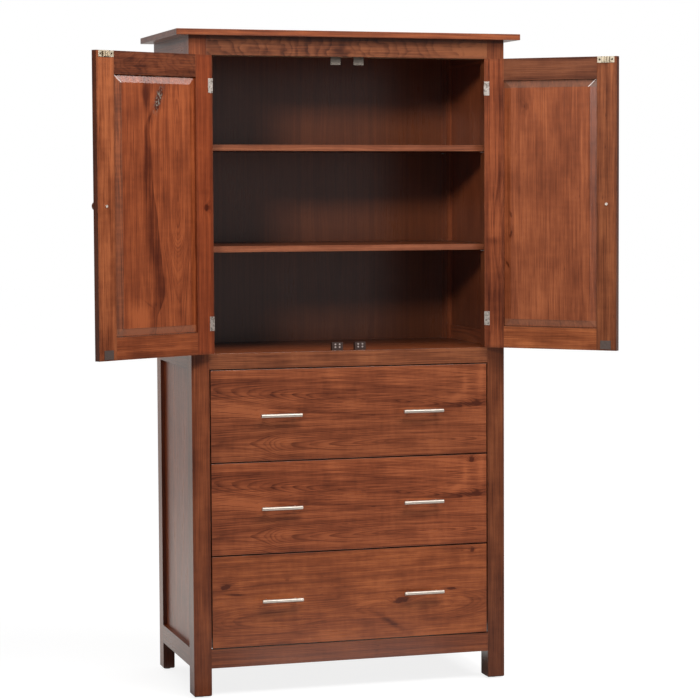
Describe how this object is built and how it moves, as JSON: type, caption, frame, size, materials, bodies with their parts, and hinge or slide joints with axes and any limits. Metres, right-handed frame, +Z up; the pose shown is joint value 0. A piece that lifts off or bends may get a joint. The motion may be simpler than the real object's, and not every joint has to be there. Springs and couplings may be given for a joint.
{
  "type": "armoire",
  "caption": "Tall wooden armoire with two inset panel doors over three full-width drawers, inner shelves, bar pulls and short square legs.",
  "frame": {"origin": "on the floor, under the middle of the whole outline with its doors open as the part rests", "axes": "+X to the right across the front, +Y from front to back, +Z up; the doors and drawers face -Y"},
  "size_m": [1.6674, 0.8888, 2.113],
  "materials": {
    "cherry": "satin stained cherry",
    "plywood": "stained cherry plywood",
    "maple": "clear satin",
    "nickel": "brushed nickel",
    "zinc_steel": "zinc plated",
    "brass": "antique",
    "black_plastic": "matt",
    "nylon": "matt"
  },
  "bodies": {
    "case": {"back_panel": "plywood", "back_post_left": "cherry", "back_post_right": "cherry", "bottom_rail": "cherry", "case_hinge_leaves": "nickel", "case_slides": "zinc_steel", "compartment_floor": "cherry", "frame_cleats": "maple", "front_post_left": "cherry", "front_post_right": "cherry", "left_side_panels": "cherry", "left_side_rails": "cherry", "leg_glides": "nylon", "lower_shelf": "cherry", "magnet_catches": "black_plastic", "middle_rail": "cherry", "right_side_panels": "cherry", "right_side_rails": "cherry", "shelf_pins": "zinc_steel", "slide_cleats": "maple", "top_board": "cherry", "top_rail": "cherry", "top_strike_plates": "zinc_steel", "upper_shelf": "cherry"},
    "left_door": {"left_door_bottom_rail": "cherry", "left_door_bottom_strike": "zinc_steel", "left_door_free_stile": "cherry", "left_door_hinge_leaves": "nickel", "left_door_hinge_stile": "cherry", "left_door_knob": "cherry", "left_door_panel": "cherry", "left_door_top_catch": "brass", "left_door_top_rail": "cherry"},
    "right_door": {"right_door_bottom_rail": "cherry", "right_door_bottom_strike": "zinc_steel", "right_door_free_stile": "cherry", "right_door_hinge_leaves": "nickel", "right_door_hinge_stile": "cherry", "right_door_knob": "cherry", "right_door_panel": "cherry", "right_door_top_catch": "brass", "right_door_top_rail": "cherry"},
    "top_drawer": {"top_drawer_back": "maple", "top_drawer_bottom": "plywood", "top_drawer_front": "cherry", "top_drawer_pulls": "nickel", "top_drawer_sides": "maple", "top_drawer_slides": "zinc_steel"},
    "middle_drawer": {"middle_drawer_back": "maple", "middle_drawer_bottom": "plywood", "middle_drawer_front": "cherry", "middle_drawer_pulls": "nickel", "middle_drawer_sides": "maple", "middle_drawer_slides": "zinc_steel"},
    "bottom_drawer": {"bottom_drawer_back": "maple", "bottom_drawer_bottom": "plywood", "bottom_drawer_front": "cherry", "bottom_drawer_pulls": "nickel", "bottom_drawer_sides": "maple", "bottom_drawer_slides": "zinc_steel"}
  },
  "joints": [
    {"name": "left_door_hinge", "type": "hinge", "parent": "case", "child": "left_door", "pos_m": [-0.43259, -0.11259, 1.565], "axis": [0, 0, -1], "range_deg": [-151, 19]},
    {"name": "right_door_hinge", "type": "hinge", "parent": "case", "child": "right_door", "pos_m": [0.49101, -0.11259, 1.565], "axis": [0, 0, 1], "range_deg": [-137, 33]},
    {"name": "top_drawer_slide", "type": "slide", "parent": "case", "child": "top_drawer", "axis": [0, -1, 0], "range_m": [0, 0.38]},
    {"name": "middle_drawer_slide", "type": "slide", "parent": "case", "child": "middle_drawer", "axis": [0, -1, 0], "range_m": [0, 0.38]},
    {"name": "bottom_drawer_slide", "type": "slide", "parent": "case", "child": "bottom_drawer", "axis": [0, -1, 0], "range_m": [0, 0.38]}
  ]
}
